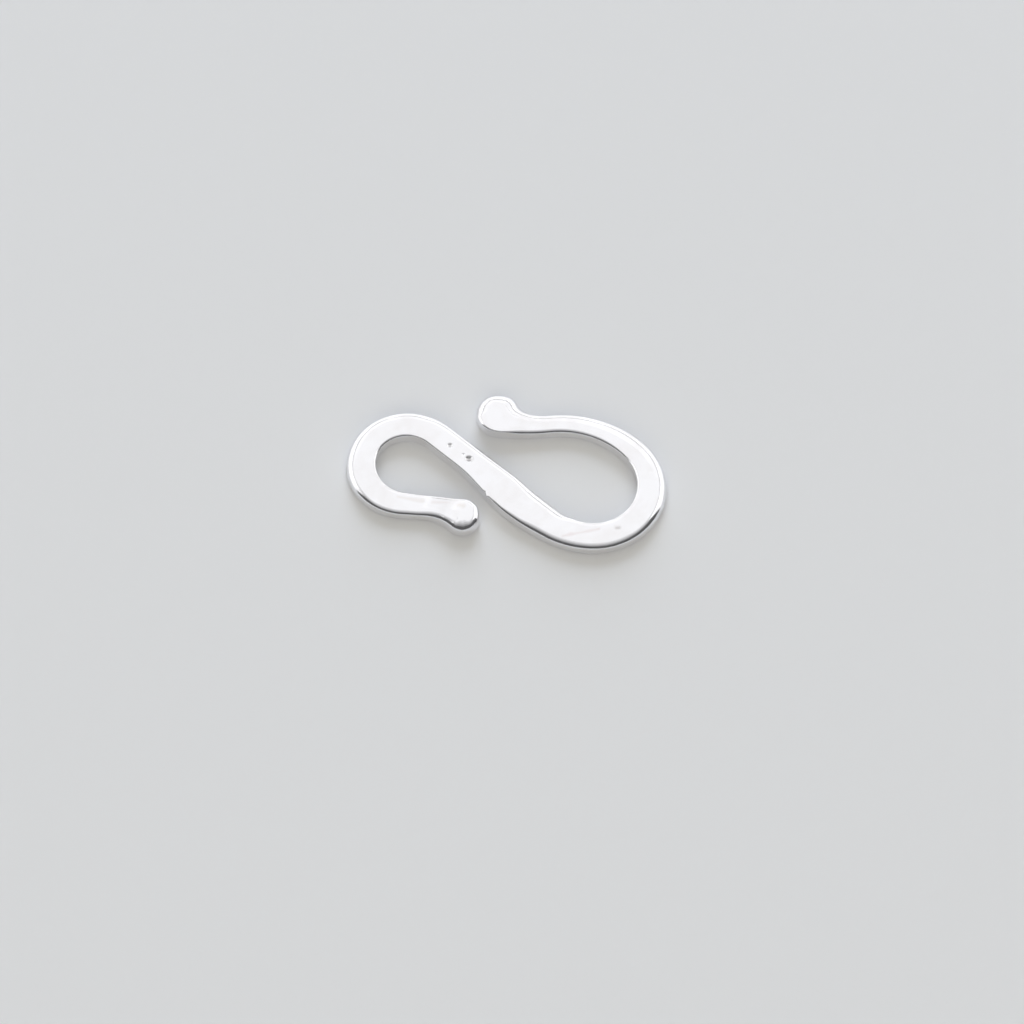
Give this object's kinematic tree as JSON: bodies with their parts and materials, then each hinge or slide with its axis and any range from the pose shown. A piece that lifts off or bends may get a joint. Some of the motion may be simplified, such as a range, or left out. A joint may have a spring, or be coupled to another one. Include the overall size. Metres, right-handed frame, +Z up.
{
  "type": "s hook clasp",
  "caption": "S-shaped hook clasp of flattened silver wire, with a large and a small open loop on a slanting bar and a pressed ball at each tip.",
  "frame": {"origin": "on the flat underside, where the bar crosses the line through the centres of both loops", "axes": "+X from the small loop to the large loop, +Y toward the large hook's tip, +Z up from the underside"},
  "size_m": [0.0131, 0.0068, 0.0008],
  "materials": {
    "silver": "hand-polished sterling silver, near white, with small pits and soft hammer marks"
  },
  "bodies": {
    "root": {"s_hook": "silver"}
  },
  "joints": []
}
